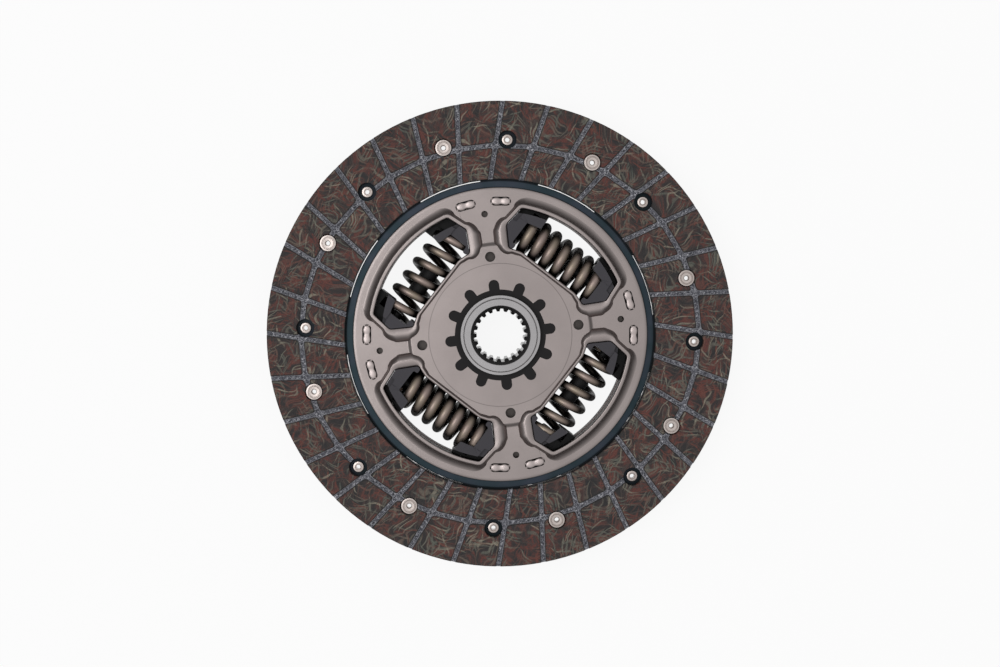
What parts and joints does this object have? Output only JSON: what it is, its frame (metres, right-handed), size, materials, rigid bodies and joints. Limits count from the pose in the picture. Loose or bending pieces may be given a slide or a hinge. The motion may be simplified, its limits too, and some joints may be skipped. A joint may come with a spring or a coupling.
{
  "type": "clutch disc",
  "caption": "Sprung clutch disc: riveted friction facings, cushion plate, lipped retainer plates, coil springs in moulded seats and a splined hub that twists against them.",
  "frame": {"origin": "on the hub axis, at the hub's rear end face, which the disc stands on", "axes": "+Z along the hub axis, from the rear end to the front (flywheel) side that the picture shows; +X through the middle of a heavy spring"},
  "size_m": [0.228, 0.228, 0.026],
  "materials": {
    "friction_facing": "ground, with short fibres and wire flecks",
    "blued_spring_steel": "blued",
    "rivet_brass": "pressed, satin",
    "pressed_steel": "satin, as pressed",
    "black_nylon": "moulded, satin",
    "washer_steel": "as pressed",
    "forged_steel": "phosphated",
    "machined_steel": "turned",
    "spring_steel": "shot-peened and oiled",
    "seat_nylon": "moulded, satin"
  },
  "bodies": {
    "disc": {"front_facing": "friction_facing", "rear_facing": "friction_facing", "cushion_plate": "blued_spring_steel", "front_facing_rivets": "rivet_brass", "rear_facing_rivets": "rivet_brass", "front_retainer_plate": "pressed_steel", "rear_retainer_plate": "pressed_steel", "front_friction_bush": "black_nylon", "rear_friction_ring": "black_nylon", "support_washer": "washer_steel", "diaphragm_spring": "washer_steel", "heavy_spring_1": "spring_steel", "heavy_spring_2": "spring_steel", "light_spring_1": "spring_steel", "light_spring_2": "spring_steel"},
    "drive_seats": {"heavy_drive_seat_1": "seat_nylon", "heavy_drive_seat_2": "seat_nylon", "light_drive_seat_1": "seat_nylon", "light_drive_seat_2": "seat_nylon"},
    "hub": {"hub_flange": "forged_steel", "spline_hub": "machined_steel"},
    "coast_seats": {"heavy_coast_seat_1": "seat_nylon", "heavy_coast_seat_2": "seat_nylon", "light_coast_seat_1": "seat_nylon", "light_coast_seat_2": "seat_nylon"}
  },
  "joints": [
    {"name": "drive_twist", "type": "hinge", "parent": "disc", "child": "drive_seats", "pos_m": [0, 0, 0.014], "axis": [0, 0, 1], "range_deg": [0, 9], "stiffness_Nm_per_rad": 4, "deforming": ["heavy_spring_1", "heavy_spring_2", "light_spring_1", "light_spring_2"]},
    {"name": "coast_twist", "type": "hinge", "parent": "drive_seats", "child": "hub", "pos_m": [0, 0, 0.014], "axis": [0, 0, 1], "range_deg": [-8, 0], "stiffness_Nm_per_rad": 4, "deforming": ["heavy_spring_1", "heavy_spring_2", "light_spring_1", "light_spring_2"]},
    {"name": "coast_seat_turn", "type": "hinge", "parent": "disc", "child": "coast_seats", "pos_m": [0, 0, 0.014], "axis": [0, 0, 1], "range_deg": [-8, 0], "deforming": ["heavy_spring_1", "heavy_spring_2", "light_spring_1", "light_spring_2"]}
  ],
  "couplings": [
    {"joint": "coast_seat_turn", "follows": "coast_twist", "ratio": 1}
  ]
}
